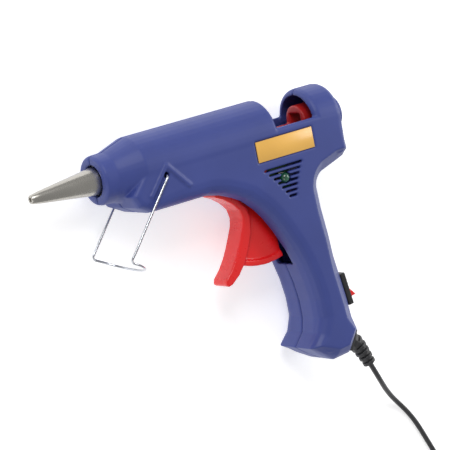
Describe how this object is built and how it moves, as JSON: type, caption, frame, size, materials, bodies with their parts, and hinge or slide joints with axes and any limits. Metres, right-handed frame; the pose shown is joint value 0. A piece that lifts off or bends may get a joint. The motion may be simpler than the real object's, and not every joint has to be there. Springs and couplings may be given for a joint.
{
  "type": "glue gun",
  "caption": "Small pistol-shaped hot-melt glue gun with a steel nozzle, trigger feed, folding wire stand, rocker switch and mains lead, lying on its side.",
  "frame": {"origin": "centre of the bottom of the gun's box (without the lead) as it lies on its right side", "axes": "+X rearward along the barrel, +Y the gun's own up, +Z the gun's left, which faces up"},
  "size_m": [0.2023, 0.2476, 0.033],
  "materials": {
    "blue_body": "satin moulded plastic",
    "red_plastic": "glossy",
    "black_plastic": "satin",
    "cord_pvc": "soft PVC",
    "steel": "turned",
    "bright_wire": "plated wire",
    "aluminium": "cast",
    "white_insulator": "silicone and ceramic",
    "label": "printed sticker",
    "led_green": "tinted lens",
    "circuit_board": "lacquered"
  },
  "bodies": {
    "housing": {"left_shell": "blue_body", "right_shell": "blue_body", "nozzle": "steel", "nozzle_insulator": "white_insulator", "melt_chamber": "aluminium", "heater_plate": "white_insulator", "heater_clip": "steel", "inlet_sleeve": "white_insulator", "return_spring": "steel", "rear_guide": "black_plastic", "trigger_pin": "steel", "label_plate": "label", "led_lens": "led_green", "led_board": "circuit_board", "switch_body": "black_plastic", "switch_tab_1": "steel", "switch_tab_2": "steel", "housing_screw_1": "steel", "housing_screw_2": "steel", "housing_screw_3": "steel", "housing_screw_4": "steel", "housing_screw_5": "steel", "cord_grip": "black_plastic", "strain_relief": "cord_pvc", "power_cord": "cord_pvc", "cord_coil": "cord_pvc", "cord_tie": "black_plastic", "plug_body": "cord_pvc", "plug_pin_1": "steel", "plug_pin_2": "steel"},
    "trigger": {"trigger": "red_plastic"},
    "carriage": {"carriage": "red_plastic", "grip_jaw": "steel"},
    "stand": {"wire_stand": "bright_wire"},
    "rocker": {"switch_rocker": "red_plastic"}
  },
  "joints": [
    {"name": "trigger_pull", "type": "hinge", "parent": "housing", "child": "trigger", "pos_m": [0.0274, 0.02351, 0.0165], "axis": [0, 0, 1], "range_deg": [0, 22], "stiffness_Nm_per_rad": 0.5, "springref_deg": -11.46},
    {"name": "carriage_feed", "type": "slide", "parent": "housing", "child": "carriage", "axis": [-1, 0, 0], "range_m": [0, 0.0085], "deforming": ["return_spring"]},
    {"name": "stand_fold", "type": "hinge", "parent": "housing", "child": "stand", "pos_m": [-0.0211, 0.04181, 0.0165], "axis": [0, 0, 1], "range_deg": [0, 60]},
    {"name": "switch_rock", "type": "hinge", "parent": "housing", "child": "rocker", "pos_m": [0.0642, -0.0322, 0.0165], "axis": [0, 0, 1], "range_deg": [-16, 0]}
  ],
  "couplings": [
    {"joint": "carriage_feed", "follows": "trigger_pull", "m_per_rad": 0.02125}
  ]
}
